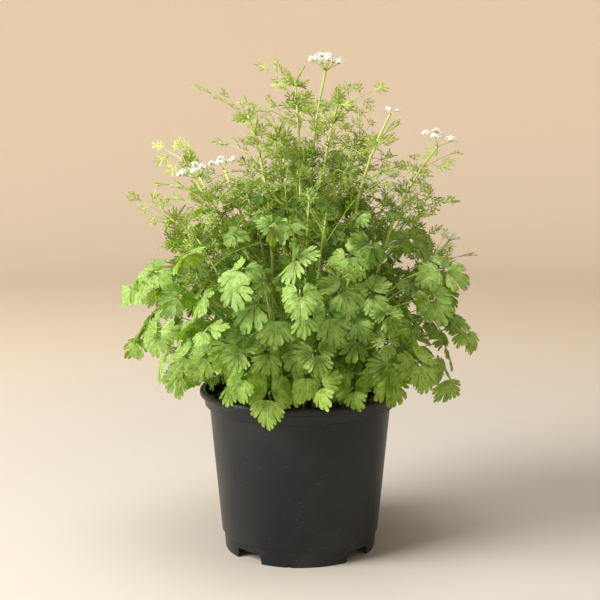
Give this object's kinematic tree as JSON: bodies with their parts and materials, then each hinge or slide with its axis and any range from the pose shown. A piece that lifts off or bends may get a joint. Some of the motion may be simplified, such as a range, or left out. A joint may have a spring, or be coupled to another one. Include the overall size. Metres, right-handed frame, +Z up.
{
  "type": "potted coriander",
  "caption": "Clump of flowering coriander with broad lower leaves, feathery upper leaves and flower heads, in a round nursery pot.",
  "frame": {"origin": "on the pot's axis, in the plane that the pot's foot stands on", "axes": "+Z up along the pot's axis, -Y towards the front of the picture, +X to its right"},
  "size_m": [0.3528, 0.3316, 0.4656],
  "materials": {
    "pot": "satin black moulded plastic, dusty",
    "potting_mix": "crumbly, dark, with bark chips",
    "stalk": "smooth, ribbed, light green",
    "flower": "white petals with a faint lilac tint",
    "leaf": "soft satin green with paler veins"
  },
  "bodies": {
    "root": {"pot": "pot", "potting_mix": "potting_mix", "flower_stalk_01": "stalk", "flower_stalk_02": "stalk", "flower_stalk_03": "stalk", "flower_stalk_04": "stalk", "flower_stalk_05": "stalk", "flower_stalk_06": "stalk", "flower_stalk_07": "stalk", "flower_stalk_08": "stalk", "flower_stalk_09": "stalk", "flower_stalk_10": "stalk", "flower_stalk_11": "stalk", "flower_stalk_12": "stalk", "flower_stalk_13": "stalk", "flower_stalk_14": "stalk", "flower_stalk_15": "stalk", "flower_stalk_16": "stalk", "flower_head_01": "flower", "flower_head_02": "flower", "flower_head_03": "flower", "flower_head_04": "flower", "flower_head_05": "flower", "flower_head_06": "flower", "broad_leaf_01": "leaf", "broad_leaf_02": "leaf", "broad_leaf_03": "leaf", "broad_leaf_04": "leaf", "broad_leaf_05": "leaf", "broad_leaf_06": "leaf", "broad_leaf_07": "leaf", "broad_leaf_08": "leaf", "broad_leaf_09": "leaf", "broad_leaf_10": "leaf", "broad_leaf_11": "leaf", "broad_leaf_12": "leaf", "broad_leaf_13": "leaf", "broad_leaf_14": "leaf", "broad_leaf_15": "leaf", "broad_leaf_16": "leaf", "broad_leaf_17": "leaf", "broad_leaf_18": "leaf", "broad_leaf_19": "leaf", "broad_leaf_20": "leaf", "broad_leaf_21": "leaf", "broad_leaf_22": "leaf", "broad_leaf_23": "leaf", "broad_leaf_24": "leaf", "broad_leaf_25": "leaf", "broad_leaf_26": "leaf", "broad_leaf_27": "leaf", "broad_leaf_28": "leaf", "broad_leaf_29": "leaf", "broad_leaf_30": "leaf", "broad_leaf_31": "leaf", "broad_leaf_32": "leaf", "broad_leaf_33": "leaf", "broad_leaf_34": "leaf"}
  },
  "joints": []
}
